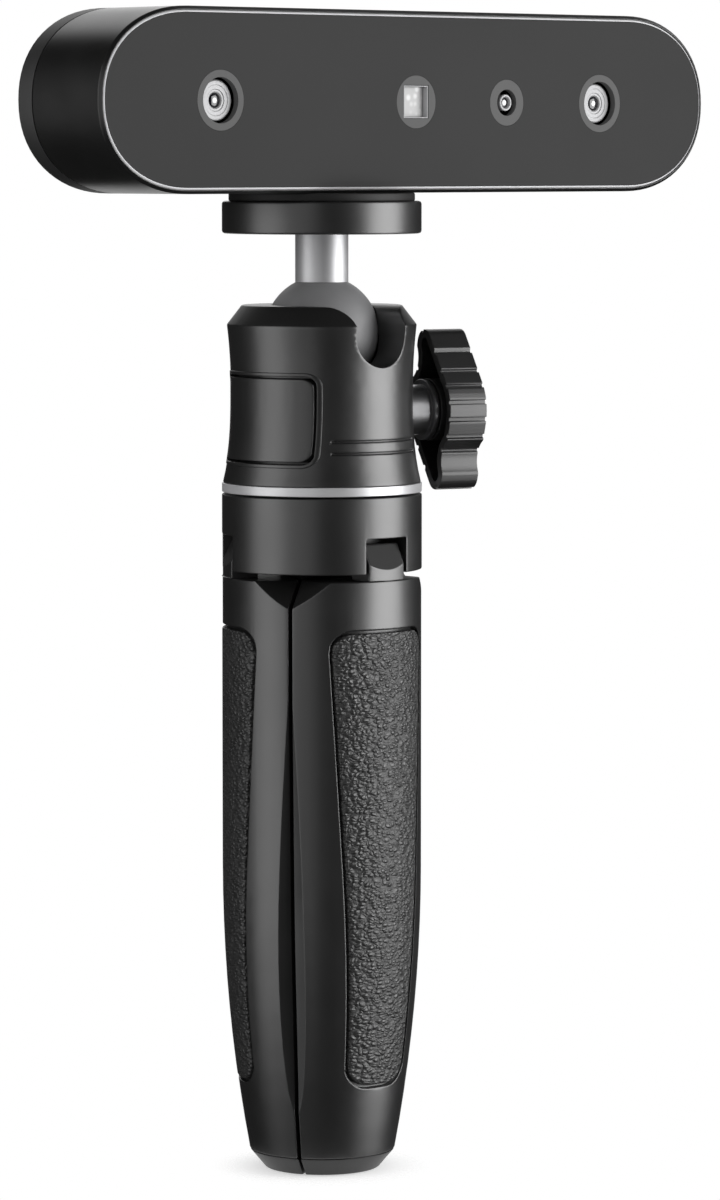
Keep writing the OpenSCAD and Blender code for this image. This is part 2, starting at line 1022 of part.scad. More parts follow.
module swivel_post() {
    color("#a8abaf")
        difference() {
            translate([0, 0, hub_top - post_seat])
                cylinder(r = post_shaft_r, h = washer_level - hub_top + post_seat);
            translate([0, 0, washer_level - post_thread])
                cylinder(r = 2.1, h = post_thread + 1);
        }
}

module swivel_washer() {
    color("#8c8f94")
        translate([0, 0, washer_level])
            difference() {
                cylinder(r = washer_r, h = washer_height);
                translate([0, 0, -1])
                    cylinder(r = 2.1, h = washer_height + 2);
            }
}

module swivel_screw() {
    color("#8c8f94")
        translate([0, 0, washer_level])
            difference() {
                union() {
                    translate([0, 0, 0.5 - post_thread])
                        cylinder(r = 2, h = washer_height + post_thread - 0.4);
                    translate([0, 0, washer_height])
                        cylinder(r = 4.2, h = 2.2);
                }
                translate([0, 0, washer_height + 1])
                    cylinder(r = 1.8, h = 2, $fn = 6);
            }
}

module hinge_pins() {
    color("#a8abaf")
        each_leg()
            translate([-pin_half + 0.1, -pivot_r, pivot_level])
                rotate([0, 90, 0])
                    cylinder(r = pin_r, h = 2 * pin_half - 0.2);
}

// Legs

function leg_radius(z) = z >= taper_level ? leg_r : leg_r - taper_r + sqrt(taper_r * taper_r - pow(taper_level - z, 2));
leg_steps = 10;

// The closed legs as one turned body
module leg_turned(inset, low, high) {
    rotate_extrude()
        polygon(concat(
            [[0, low]],
            [for (i = [0 : leg_steps]) let (z = low + (taper_level - low) * i / leg_steps)
                [leg_radius(z) - inset, z]],
            [[leg_r - inset, high], [0, high]]));
}

// A third of the round, set back from the faces between neighbouring legs
module leg_sector(gap) {
    start = gap / sin(60);
    side = 3 * leg_r;
    linear_extrude(hub_top)
        polygon([[0, -start], [side * sin(60), -start - side * cos(60)], [side * sin(60), -side],
            [-side * sin(60), -side], [-side * sin(60), -start - side * cos(60)]]);
}

function grip_side(d) = concat(
    corner(grip_low_half - grip_corner_low, grip_low + grip_corner_low, grip_corner_low - d, -90),
    corner(grip_top_half - grip_corner_top, grip_high - grip_corner_top, grip_corner_top - d, 0));

module grip_prism(d) {
    facing()
        linear_extrude(leg_r + 4)
            polygon(concat(grip_side(d), mirrored(grip_side(d))));
}

// The crescent that opens along one edge of a leg
bevel_rise = 8;
bevel_drop = 19.6;
bevel_low = foot_height + bevel_rise;
bevel_high = hub_level - bevel_drop;
bevel_steps = 16;
bevel_turn = 28;
bevel_bulge = 0.64;
module edge_bevel() {
    rotate([0, 0, bevel_turn - 30])
        translate([0, leg_r, 0])
            facing()
                linear_extrude(2 * leg_r)
                    polygon(concat(
                        [for (i = [0 : bevel_steps]) let (u = i / bevel_steps, z = bevel_low + (bevel_high - bevel_low) * u)
                            [bevel_face(z, u), z]],
                        [[2 * leg_r, bevel_high], [2 * leg_r, bevel_low]]));
}
function bevel_face(z, u) = leg_radius(z) * cos(bevel_turn) - bevel_depth * sin(180 * pow(u, bevel_bulge));

// The tongue is as round as the leg outside, with a flat above its hinge pin
module leg_tongue() {
    intersection() {
        cylinder(r = leg_r - 0.05, h = hub_top);
        translate([-tongue_half, 0, 0])
            rotate([90, 0, 90])
                linear_extrude(2 * tongue_half)
                    intersection() {
                        union() {
                            translate([-pivot_r, pivot_level])
                                circle(r = tongue_r);
                            polygon([[-leg_r, leg_top - 3], [tongue_r - pivot_r, leg_top - 3],
                                [tongue_r - pivot_r, pivot_level], [-pivot_r, pivot_level],
                                [-pivot_r, pivot_level + tongue_r], [-leg_r, pivot_level + tongue_r]]);
                        }
                        polygon([[-leg_r, leg_top - 4], [-leg_r, pivot_level - tongue_flat],
                            [tongue_lean - leg_r, pivot_level + tongue_r],
                            [4 - pivot_r, pivot_level + tongue_r], [4 - pivot_r, leg_top - 4]]);
                    }
    }
}

// The moulded cells on the inner side of a leg
module leg_cells() {
    difference() {
        intersection() {
            leg_turned(shell_wall, foot_height, cell_high);
            leg_sector(slit / 2 + side_wall);
            for (i = [0 : cell_rows - 1])
                translate([-leg_r, -leg_r, cell_low + i * cell_step])
                    cube([2 * leg_r, 2 * leg_r, cell_step - rib]);
        }
        translate([-web_half, -leg_r, 0])
            cube([2 * web_half, 2 * leg_r, hub_level]);
    }
}

module leg() {
    color("#1c1c1e")
        difference() {
            union() {
                intersection() {
                    leg_turned(0, foot_height, leg_top);
                    leg_sector(slit / 2);
                }
                leg_tongue();
            }
            leg_cells();
            translate([0, 0, cell_low])
                cylinder(r = core_r, h = hub_level);
            cone_shape(0.8);
            difference() {
                grip_prism(0);
                leg_turned(grip_thick + fit, foot_height, hub_level);
            }
            edge_bevel();
            mirror([1, 0, 0])
                edge_bevel();
            for (side = [0, 1])
                mirror([side, 0, 0])
                    facing()
                        linear_extrude(2 * leg_r)
                            polygon([[shoulder_half, leg_top + 0.1], [shoulder_half + shoulder_cut, leg_top - shoulder_cut],
                                [2 * leg_r, leg_top - shoulder_cut], [2 * leg_r, leg_top + 0.1]]);
            translate([-slot_width, -pivot_r, pivot_level])
                rotate([0, 90, 0])
                    cylinder(r = pin_r + running, h = 2 * slot_width);
            translate([0, -peg_x, foot_height - peg_sink])
                cylinder(r = peg_r + fit, h = peg_length + 0.5);
        }
}

module grip() {
    color("#141414")
        intersection() {
            difference() {
                leg_turned(-0.1, foot_height, hub_level);
                leg_turned(grip_thick, foot_height - 1, hub_level + 1);
            }
            grip_prism(grip_gap);
        }
}

module foot() {
    color("#262628")
        union() {
            intersection() {
                cylinder(r1 = sole_r, r2 = ankle_r, h = foot_height - fit);
                leg_sector(sole_gap / 2);
            }
            translate([0, -peg_x, foot_height - peg_sink])
                cylinder(r = peg_r, h = peg_length);
        }
}

module leg_front() {
    leg();
}

module leg_right() {
    at(120)
        leg();
}

module leg_left() {
    at(-120)
        leg();
}

module grip_front() {
    grip();
}

module grip_right() {
    at(120)
        grip();
}

module grip_left() {
    at(-120)
        grip();
}

module foot_front() {
    foot();
}

module foot_right() {
    at(120)
        foot();
}

module foot_left() {
    at(-120)
        foot();
}

scanner_sleeve();
rear_cover();
trim_ring();
front_window();
left_camera_ring();
right_camera_ring();
projector_ring();
color_camera_ring();
left_camera_barrel();
right_camera_barrel();
color_camera_barrel();
left_camera_lens();
right_camera_lens();
color_camera_lens();
camera_blocks();
projector_block();
projector_emitter();
optics_plate();
plate_screws();
main_board();
board_spacers();
usb_socket();
scan_button();
button_switch();
status_light();
cover_screws();
tripod_bush();
platform_disc();
platform_pad();
mount_screw();
ball_stem();
ball();
ball_housing();
ball_cup();
thrust_block();
head_base();
neck_ring();
knob_bush();
clamp_screw();
clamp_knob();
release_button();
latch_pin();
leg_hub();
hub_cone();
swivel_post();
swivel_washer();
swivel_screw();
hinge_pins();
leg_front();
leg_right();
leg_left();
grip_front();
grip_right();
grip_left();
foot_front();
foot_right();
foot_left();
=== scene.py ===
import json
import math

import bmesh
import bpy
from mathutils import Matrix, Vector
from mathutils.bvhtree import BVHTree


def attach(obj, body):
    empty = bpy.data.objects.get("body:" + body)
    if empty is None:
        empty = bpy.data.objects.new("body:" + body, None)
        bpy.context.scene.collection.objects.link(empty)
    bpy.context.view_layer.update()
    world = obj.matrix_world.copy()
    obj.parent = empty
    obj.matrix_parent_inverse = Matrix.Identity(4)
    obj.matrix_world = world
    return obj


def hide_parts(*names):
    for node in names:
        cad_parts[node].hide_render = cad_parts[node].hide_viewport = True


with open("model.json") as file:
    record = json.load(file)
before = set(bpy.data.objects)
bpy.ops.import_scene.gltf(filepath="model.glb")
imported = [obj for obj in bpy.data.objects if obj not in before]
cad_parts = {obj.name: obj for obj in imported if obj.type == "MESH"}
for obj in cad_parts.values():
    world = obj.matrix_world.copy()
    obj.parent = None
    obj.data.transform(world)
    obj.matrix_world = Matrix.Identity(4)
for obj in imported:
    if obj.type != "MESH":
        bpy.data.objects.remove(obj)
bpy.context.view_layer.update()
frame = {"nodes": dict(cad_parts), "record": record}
nodes = frame["nodes"]
bodies = frame["record"]["behaviour"]["bodies"]
body_of = {node: body for body, members in bodies.items() for node in members}
slot_of = {part["node"]: part["material_slot"] for part in frame["record"]["subparts"]}
scene = bpy.context.scene
MM = 0.001
LEGS = (("front", 0), ("right", 120), ("left", -120))


def limits(points):
    """The lowest and the highest corner of the box round some points."""
    return (Vector([min(p[i] for p in points) for i in range(3)]),
            Vector([max(p[i] for p in points) for i in range(3)]))


def box_of(name):
    """The box of a CAD node where it stands."""
    return limits([nodes[name].matrix_world @ v.co for v in nodes[name].data.vertices])


def heading(degrees, rise=0.0):
    """The direction at a turn from -Y towards +X and a rise above the floor."""
    a, e = math.radians(degrees), math.radians(rise)
    return Vector((math.sin(a) * math.cos(e), -math.cos(a) * math.cos(e), math.sin(e)))


# Node trees

NOISE_LOW, NOISE_HIGH = 0.3, 0.7


class Tree:
    """A node tree, with short calls for the nodes that are used here."""

    def __init__(self, owner, output):
        owner.use_nodes = True
        self.tree = owner.node_tree
        self.tree.nodes.clear()
        self.output = self.node(output)

    def node(self, kind, **settings):
        made = self.tree.nodes.new(kind)
        for key, value in settings.items():
            setattr(made, key, value)
        return made

    def link(self, source, target):
        self.tree.links.new(source, target)

    def feed(self, target, value):
        if isinstance(value, bpy.types.NodeSocket):
            self.link(value, target)
        else:
            target.default_value = value

    def surface(self, shader):
        self.link(shader.outputs[0], self.output.inputs["Surface"])

    def math(self, operation, a, b):
        made = self.node("ShaderNodeMath", operation=operation)
        self.feed(made.inputs[0], a)
        self.feed(made.inputs[1], b)
        return made.outputs[0]

    def span(self, value, low, high, to_low=0.0, to_high=1.0):
        """Maps a range smoothly to another."""
        made = self.node("ShaderNodeMapRange", interpolation_type="SMOOTHSTEP")
        names = ("Value", "From Min", "From Max", "To Min", "To Max")
        for key, number in zip(names, (value, low, high, to_low, to_high)):
            self.feed(made.inputs[key], number)
        return made.outputs[0]

    def spread(self, value, to_low=0.0, to_high=1.0):
        """Maps the middle of a noise to a range."""
        return self.span(value, NOISE_LOW, NOISE_HIGH, to_low, to_high)

    def blend(self, share, a, b):
        """Mixes two colours."""
        made = self.node("ShaderNodeMix", data_type="RGBA")
        self.feed(made.inputs["Factor"], share)
        self.feed(made.inputs[6], a)
        self.feed(made.inputs[7], b)
        return made.outputs[2]

    def mix(self, share, a, b):
        """Mixes two numbers."""
        made = self.node("ShaderNodeMix", data_type="FLOAT")
        self.feed(made.inputs["Factor"], share)
        self.feed(made.inputs[2], a)
        self.feed(made.inputs[3], b)
        return made.outputs[0]

    def length(self, vector):
        made = self.node("ShaderNodeVectorMath", operation="LENGTH")
        self.link(vector, made.inputs[0])
        return made.outputs["Value"]

    def dot(self, a, b):
        made = self.node("ShaderNodeVectorMath", operation="DOT_PRODUCT")
        self.feed(made.inputs[0], a)
        self.feed(made.inputs[1], b)
        return made.outputs["Value"]

    def part_y(self, vector):
        made = self.node("ShaderNodeSeparateXYZ")
        self.link(vector, made.inputs[0])
        return made.outputs["Y"]

    def coordinates(self, kind):
        return self.node("ShaderNodeTexCoord").outputs[kind]

    def seen_directly(self):
        """One for camera rays, and one for camera, glossy and transmission rays."""
        path = self.node("ShaderNodeLightPath")
        camera_ray = path.outputs["Is Camera Ray"]
        direct = camera_ray
        for kind in ("Is Glossy Ray", "Is Transmission Ray"):
            direct = self.math("MAXIMUM", direct, path.outputs[kind])
        return camera_ray, direct


class Graph(Tree):
    """A material's tree round one Principled shader, in the piece's own coordinates."""

    def __init__(self, name):
        self.material = bpy.data.materials.new(name)
        super().__init__(self.material, "ShaderNodeOutputMaterial")
        self.bsdf = self.node("ShaderNodeBsdfPrincipled")
        self.surface(self.bsdf)
        self.place = self.coordinates("Object")

    def stretch(self, scale):
        made = self.node("ShaderNodeMapping")
        self.link(self.place, made.inputs["Vector"])
        made.inputs["Scale"].default_value = scale
        return made.outputs[0]

    def noise(self, size_mm, detail=3.0, rough=0.5, vector=None):
        made = self.node("ShaderNodeTexNoise")
        self.link(vector or self.place, made.inputs["Vector"])
        made.inputs["Scale"].default_value = 1 / (size_mm * MM)
        made.inputs["Detail"].default_value = detail
        made.inputs["Roughness"].default_value = rough
        return made.outputs["Fac"]

    def cells(self, size_mm, feature="DISTANCE_TO_EDGE", vector=None, random=1.0):
        made = self.node("ShaderNodeTexVoronoi", feature=feature)
        self.link(vector or self.place, made.inputs["Vector"])
        made.inputs["Scale"].default_value = 1 / (size_mm * MM)
        made.inputs["Randomness"].default_value = random
        return made.outputs["Distance"]

    def bump(self, height, depth_mm, strength, under=None):
        made = self.node("ShaderNodeBump")
        self.link(height, made.inputs["Height"])
        made.inputs["Distance"].default_value = depth_mm * MM
        made.inputs["Strength"].default_value = strength
        if under is not None:
            self.link(under, made.inputs["Normal"])
        return made.outputs[0]

    def round_edges(self, radius_mm):
        made = self.node("ShaderNodeBevel", samples=4)
        made.inputs["Radius"].default_value = radius_mm * MM
        return made.outputs[0]

    def edge_mask(self, rounded, low, high):
        """How strongly a rounded edge turns away from the plain surface."""
        plain = self.node("ShaderNodeNewGeometry").outputs["Normal"]
        return self.span(self.dot(rounded, plain), high, low)

    def set(self, **values):
        for key, value in values.items():
            self.feed(self.bsdf.inputs[key.replace("_", " ")], value)


def grey(level, tint=0.0):
    return (level, level, level * (1 + tint), 1.0)


# Materials

METAL_TINT = 0.02
METAL_EDGE = 0.15
REAR_SOFT = 0.02
REAR_SIDE, REAR_BACK_PAINTED_LIGHT = 0.009, 0.018
REAR_ROUGHER = 0.2
WARP_MM, WARP_SHIFT = 2.4, 0.0020
PEBBLE_MM, PEBBLE_FLAT = 1.35, 1.8
PAINTED_GLINT_INNER, PAINTED_GLINT_OUTER = 0.5, 0.62


def satin(name, dark, light, rough, ior, grain_mm=0.35, grain_depth=0.002, edge_mm=0.25,
          edge_level=0.05, rear=None):
    """Moulded or painted black with fine grain, cloudy gloss and slightly worn edges.

    Behind a given y it is paler and duller, and there faces turned to the back are paler still:
    painted light standing in for the dim light that falls from behind.
    """
    g = Graph(name)
    cloud = g.noise(9, detail=4)
    fine = g.noise(grain_mm, detail=2)
    rounded = g.round_edges(edge_mm)
    worn = g.math("MULTIPLY", g.edge_mask(rounded, 0.72, 0.97), g.spread(g.noise(2.2, detail=3)))
    shade = g.blend(g.spread(cloud), grey(dark), grey(light))
    mottle = g.math("ADD", g.math("MULTIPLY", cloud, 0.6), g.math("MULTIPLY", fine, 0.4))
    gloss = g.spread(mottle, rough - 0.015, rough + 0.02)
    if rear is not None:
        behind = g.span(g.part_y(g.place), rear - REAR_SOFT * MM, rear + REAR_SOFT * MM)
        # Painted light: faces turned to the back get a paler colour than the sides, for the dim
        # light from behind.
        back_face_painted_light = g.span(g.part_y(g.coordinates("Normal")), 0.75, 0.95)
        rear_tone_and_painted_light = g.blend(back_face_painted_light, grey(REAR_SIDE), grey(REAR_BACK_PAINTED_LIGHT))
        shade = g.blend(behind, shade, rear_tone_and_painted_light)
        gloss = g.math("ADD", gloss, g.math("MULTIPLY", behind, REAR_ROUGHER))
    g.set(Base_Color=g.blend(worn, shade, grey(edge_level)), Roughness=gloss, IOR=ior,
          Normal=g.bump(fine, grain_depth, strength=0.6, under=rounded))
    return g.material


def metal(name, level, rough, metallic=1.0, brush=(1, 1, 14), depth=0.002):
    """Turned metal: fine lines in gloss and bump, closest along the axis that brush scales most."""
    g = Graph(name)
    lines = g.noise(2.4, detail=3, rough=0.6, vector=g.stretch(brush))
    cloud = g.noise(6, detail=3)
    rounded = g.round_edges(METAL_EDGE)
    shade = g.blend(g.spread(cloud), grey(level * 0.94, METAL_TINT), grey(level, METAL_TINT))
    g.set(Base_Color=shade, Roughness=g.spread(lines, rough - 0.03, rough + 0.04),
          Metallic=metallic, Normal=g.bump(lines, depth, strength=0.3, under=rounded))
    return g.material


def leather(name):
    """Black pebbled grip: uneven pebbles, wider than high, with creases between them that are
    darkened as painted shade.
    """
    g = Graph(name)
    warp = g.node("ShaderNodeTexNoise")
    g.link(g.place, warp.inputs["Vector"])
    warp.inputs["Scale"].default_value = 1 / (WARP_MM * MM)
    warp.inputs["Detail"].default_value = 2.0
    shift = g.node("ShaderNodeVectorMath", operation="MULTIPLY_ADD")
    g.link(warp.outputs["Color"], shift.inputs[0])
    shift.inputs[1].default_value = (WARP_SHIFT, WARP_SHIFT, WARP_SHIFT)
    g.link(g.stretch((1, 1, PEBBLE_FLAT)), shift.inputs[2])
    warped = shift.outputs[0]
    pebble = g.span(g.cells(PEBBLE_MM, "SMOOTH_F1", warped), 0.10, 0.70, 1.0, 0.0)
    crease_and_painted_shade = g.span(g.cells(PEBBLE_MM, vector=warped), 0.0, 0.26)
    swell = g.noise(1.2, detail=3)
    small = g.math("ADD", g.math("MULTIPLY", crease_and_painted_shade, 0.22), g.math("MULTIPLY", swell, 0.28))
    height = g.math("ADD", g.math("MULTIPLY", pebble, 0.50), small)
    cloud = g.noise(12, detail=3)
    top = g.blend(g.spread(cloud), grey(0.007), grey(0.010))
    coarse = g.bump(height, 0.40, strength=1.0)
    # Painted shade: the creases are made darker in the base colour; the same mask also shapes the
    # bump.
    g.set(Base_Color=g.blend(crease_and_painted_shade, grey(0.0015), top), IOR=2.1,
          Roughness=g.span(height, 0.2, 0.9, 0.58, 0.42),
          Normal=g.bump(g.noise(0.35, detail=2), 0.005, strength=0.4, under=coarse))
    return g.material


def panel(name, dark, light, rough, specular):
    """Flat cover panel: even tone, faint cloud, very fine texture."""
    g = Graph(name)
    cloud = g.noise(40, detail=2)
    fine = g.noise(0.25, detail=2)
    g.set(Base_Color=g.blend(g.spread(cloud), grey(dark), grey(light)),
          Roughness=g.spread(fine, rough - 0.03, rough + 0.03), Specular_IOR_Level=specular,
          Normal=g.bump(fine, 0.002, strength=0.4, under=g.round_edges(0.1)))
    return g.material


def lens_glass(name):
    """Coated lens: dark towards its edge, with a painted highlight in the middle."""
    g = Graph(name)
    # Painted highlight: a pale disc in the middle of the lens stands in for a reflection.
    painted_glint = g.span(g.length(g.stretch((1, 0, 1))), PAINTED_GLINT_OUTER * MM, PAINTED_GLINT_INNER * MM)
    cloud = g.noise(0.8, detail=2)
    deep = g.blend(g.spread(cloud), (0.004, 0.005, 0.008, 1), (0.010, 0.009, 0.014, 1))
    g.set(Base_Color=g.blend(painted_glint, deep, grey(0.78)), Roughness=g.spread(cloud, 0.05, 0.1), IOR=1.9)
    return g.material


def emitter(name):
    """Pale projector face with small round spots."""
    g = Graph(name)
    spots = g.span(g.cells(1.7, "F1"), 0.1, 0.55)
    g.set(Base_Color=g.blend(spots, grey(0.78), grey(0.50)),
          Roughness=g.spread(g.noise(0.5), 0.3, 0.45), Normal=g.bump(spots, 0.05, strength=0.4))
    return g.material


def board(name):
    """Green circuit board with darker fields between its tracks."""
    g = Graph(name)
    tracks = g.span(g.cells(3.2, random=0.4), 0.02, 0.06)
    g.set(Base_Color=g.blend(tracks, (0.03, 0.14, 0.07, 1), (0.012, 0.06, 0.03, 1)),
          Roughness=g.spread(g.noise(1.5), 0.3, 0.45), Normal=g.bump(tracks, 0.03, strength=0.5))
    return g.material


MATERIALS = {}


def add(maker, name, **settings):
    MATERIALS[name] = maker(name, **settings)


SEAM = box_of("scanner_sleeve")[1].y
add(satin, "case_black", dark=0.0022, light=0.0030, rough=0.30, ior=2.1, edge_level=0.02, rear=SEAM)
add(metal, "bright_trim", level=0.95, rough=0.32, metallic=0.1, brush=(3, 3, 3))
add(panel, "window_grey", dark=0.036, light=0.039, rough=0.55, specular=0.12)
add(panel, "ring_grey", dark=0.105, light=0.112, rough=0.5, specular=0.15)
add(metal, "barrel_metal", level=0.45, rough=0.42, metallic=0.3, brush=(6, 6, 6), depth=0.01)
add(lens_glass, "lens_glass")
add(satin, "module_black", dark=0.01, light=0.014, rough=0.45, ior=1.5)
add(emitter, "emitter_white")
add(metal, "plate_aluminium", level=0.45, rough=0.4, brush=(8, 1, 1))
add(metal, "screw_steel", level=0.42, rough=0.32)
add(board, "board_green")
add(metal, "brass", level=0.35, rough=0.3)
add(metal, "socket_steel", level=0.5, rough=0.3, brush=(4, 1, 4))
add(satin, "button_black", dark=0.012, light=0.016, rough=0.4, ior=1.6)
add(panel, "light_white", dark=0.62, light=0.70, rough=0.3, specular=0.5)
add(satin, "tripod_black", dark=0.0022, light=0.0030, rough=0.37, ior=2.2)
add(satin, "pad_rubber", dark=0.004, light=0.006, rough=0.6, ior=1.62,
    grain_mm=0.6, grain_depth=0.012)
add(metal, "stem_polished", level=0.70, rough=0.45, metallic=0.75)
add(metal, "ball_grey", level=0.26, rough=0.50, metallic=0.1, brush=(1, 1, 1))
add(metal, "bright_ring", level=0.76, rough=0.38, metallic=0.62)
add(metal, "collar_metal", level=0.34, rough=0.38, brush=(1, 1, 1))
add(satin, "knob_black", dark=0.0024, light=0.0032, rough=0.40, ior=2.3, edge_mm=0.18)
add(satin, "cone_black", dark=0.003, light=0.004, rough=0.42, ior=1.8)
add(leather, "grip_leather")
add(satin, "foot_black", dark=0.004, light=0.006, rough=0.42, ior=1.6,
    grain_mm=0.5, grain_depth=0.01)


# Pieces made from the frame's own shapes

WELD = 2e-6
FLAT_ANGLE = 0.4
SHARP_ANGLE = 28
SMOOTH_ANGLE = 40
AT_FRONT = 1e-6
SIDE_NORMAL, FRONT_NORMAL = 0.1, 0.9
LIP_MM = 0.68
CRESCENT_TURN = (80, 96)
CRESCENT_SLOPE = 0.35
CRESCENT_TOP = 0.112


def smooth_faces(bm, angle):
    for f in bm.faces:
        f.smooth = True
    for e in bm.edges:
        e.smooth = len(e.link_faces) == 2 and e.calc_face_angle(0) < math.radians(angle)


def round_over(bm, edges, width_mm, segments):
    bmesh.ops.bevel(bm, geom=edges, offset=width_mm * MM, offset_type="OFFSET", segments=segments,
                    profile=0.5, affect="EDGES", clamp_overlap=False, miter_outer="ARC")


def outer_lip(bm, front, middle):
    """The outer edges of a piece's front face."""
    return [e for e in bm.edges if all(v.co.y < front for v in e.verts)
            and any(abs(f.normal.y) < SIDE_NORMAL and f.normal.dot(e.verts[0].co - middle) > 0
                    for f in e.link_faces)]


def is_sharp(edge):
    return len(edge.link_faces) == 2 and edge.calc_face_angle(0) > math.radians(SHARP_ANGLE)


def dress(name, round_mm, smooth=SMOOTH_ANGLE, keep=None, lip_mm=0.0):
    """A welded, smooth copy of a CAD node with rounded edges, shown in its place.

    Edges of the faces that keep tells, and of a chamfered front lip, stay crisp.
    """
    bm = bmesh.new()
    bm.from_mesh(nodes[name].data)
    bmesh.ops.remove_doubles(bm, verts=bm.verts, dist=WELD)
    bmesh.ops.dissolve_limit(bm, angle_limit=math.radians(FLAT_ANGLE), verts=bm.verts,
                             edges=bm.edges)
    lowest, highest = limits([v.co for v in bm.verts])
    front = lowest.y + AT_FRONT

    def crisp(face):
        if keep and keep(face):
            return True
        return lip_mm and (SIDE_NORMAL < abs(face.normal.y) < FRONT_NORMAL
                           or face.calc_center_median().y < front)

    if lip_mm:
        round_over(bm, outer_lip(bm, front, (lowest + highest) / 2), lip_mm, 1)
        bm.normal_update()
    if round_mm:
        sharp = [e for e in bm.edges if is_sharp(e) and not any(crisp(f) for f in e.link_faces)]
        round_over(bm, sharp, round_mm, 2)
    for v in bm.verts:
        v.co = [min(max(v.co[i], lowest[i]), highest[i]) for i in range(3)]
    smooth_faces(bm, smooth)
    mesh = bpy.data.meshes.new(name + "_shape")
    bm.to_mesh(mesh)
    bm.free()
    if "custom_normal" in mesh.attributes:
        mesh.attributes.remove(mesh.attributes["custom_normal"])
    made = bpy.data.objects.new(name + "_dressed", mesh)
    scene.collection.objects.link(made)
    made.data.materials.append(MATERIALS[slot_of[name]])
    if round_mm:
        weighted = made.modifiers.new("even_shading", "WEIGHTED_NORMAL")
        weighted.keep_sharp = True
        weighted.weight = 80
    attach(made, body_of[name])
    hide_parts(name)


def faces_front(face):
    return face.normal.y < -FRONT_NORMAL


def crescent_of(leg_turn):
    """Tells the faces of the two long crescents along a leg's edges."""
    def test(face):
        turn = math.degrees(math.atan2(face.normal.x, -face.normal.y)) - leg_turn
        return (CRESCENT_TURN[0] < abs((turn + 180) % 360 - 180) < CRESCENT_TURN[1]
                and abs(face.normal.z) < CRESCENT_SLOPE
                and face.calc_center_median().z < CRESCENT_TOP)
    return test


ROUNDED = {
    "front_window": 0.0,
    "left_camera_ring": 0.0, "right_camera_ring": 0.0,
    "color_camera_ring": 0.0, "projector_ring": 0.0,
    "platform_disc": 0.6, "platform_pad": 0.3, "ball_stem": 0.0,
    "ball_housing": 0.25, "neck_ring": 0.2, "knob_bush": 0.2, "clamp_knob": 0.15,
    "release_button": 0.2, "leg_hub": 0.3, "hub_cone": 0.2,
    "foot_front": 0.3, "foot_right": 0.3, "foot_left": 0.3,
    "grip_front": 0.4, "grip_right": 0.4, "grip_left": 0.4, "scan_button": 0.4,
}
for name, width in ROUNDED.items():
    dress(name, width)
dress("rear_cover", 0.35, keep=faces_front)
dress("scanner_sleeve", 0.12, lip_mm=LIP_MM)
for side, leg_turn in LEGS:
    dress("leg_" + side, 0.25, smooth=22, keep=crescent_of(leg_turn))


# Pieces with more detail than the frame's shapes

def show(bm, name, slot, body, stands_for=(), place=(0, 0, 0), angle=SMOOTH_ANGLE):
    """Puts a finished mesh into the scene as a piece that rides a body."""
    bmesh.ops.recalc_face_normals(bm, faces=bm.faces)
    smooth_faces(bm, angle)
    mesh = bpy.data.meshes.new(name + "_shape")
    bm.to_mesh(mesh)
    bm.free()
    made = bpy.data.objects.new(name, mesh)
    scene.collection.objects.link(made)
    made.location = place
    made.data.materials.append(MATERIALS[slot])
    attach(made, body)
    for node in stands_for:
        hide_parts(node)


def close_ring(bm, loops):
    """Joins loops of vertices, each to the next and the last to the first."""
    for one, two in zip(loops, loops[1:] + loops[:1]):
        for k in range(len(one)):
            bm.faces.new((one[k - 1], one[k], two[k], two[k - 1]))


# Camera barrels and lenses, as radius and depth in millimetres

LATHE_STEPS = 72
LATHE_ANGLE = 30
DOME_STEP = 9
DEPTH_BARREL = [(0, 2.2), (1.55, 2.2), (1.55, 0.5), (1.8, 0.28), (2.2, 0.28), (2.32, 0.12),
                (3.1, 0.12), (3.2, 0.0), (3.95, 0.0), (4.2, 0.2), (4.2, 3.3), (0, 3.3)]
SMALL_BARREL = [(0, 2.2), (1.12, 2.2), (1.12, 0.3), (1.24, 0.08), (1.36, 0.0), (1.62, 0.0),
                (1.75, 0.12), (1.75, 4.2), (0, 4.2)]
COLOR_AHEAD = 1.2


def dome(radius, rise, depth):
    turns = [math.radians(a) for a in range(0, 91, DOME_STEP)]
    rings = [(radius * math.sin(t), rise * (1 - math.cos(t))) for t in turns]
    return rings + [(radius, depth), (0, depth)]


def lathe(name, node, profile, slot, body, ahead=0.0):
    """Turns a profile round a node's axis, from the node's front or some millimetres ahead."""
    lowest, highest = box_of(node)
    middle = Vector(((lowest.x + highest.x) / 2, lowest.y - ahead * MM,
                     (lowest.z + highest.z) / 2))
    turns = [2 * math.pi * k / LATHE_STEPS for k in range(LATHE_STEPS)]
    bm = bmesh.new()
    rows = []
    for r, d in profile:
        if r == 0:
            rows.append([bm.verts.new((0, d * MM, 0))] * LATHE_STEPS)
        else:
            rows.append([bm.verts.new((r * MM * math.cos(t), d * MM, r * MM * math.sin(t)))
                         for t in turns])
    for one, two in zip(rows, rows[1:]):
        for k in range(LATHE_STEPS):
            after = (k + 1) % LATHE_STEPS
            corners = []
            for v in (one[k], one[after], two[after], two[k]):
                if v not in corners:
                    corners.append(v)
            if len(corners) > 2:
                bm.faces.new(corners)
    show(bm, name, slot, body, (node,), middle, LATHE_ANGLE)


for side in ("left", "right"):
    lathe(side + "_barrel_turned", side + "_camera_barrel", DEPTH_BARREL, "barrel_metal", "scanner")
    lathe(side + "_lens_dome", side + "_camera_lens", dome(1.5, 0.5, 1.8), "lens_glass", "scanner")
lathe("color_barrel_turned", "color_camera_barrel", SMALL_BARREL, "barrel_metal", "scanner",
      COLOR_AHEAD)
lathe("color_lens_dome", "color_camera_lens", dome(1.1, 0.4, 1.8), "lens_glass", "scanner",
      COLOR_AHEAD)


# Trim line round the cover panel, as inset and depth in millimetres

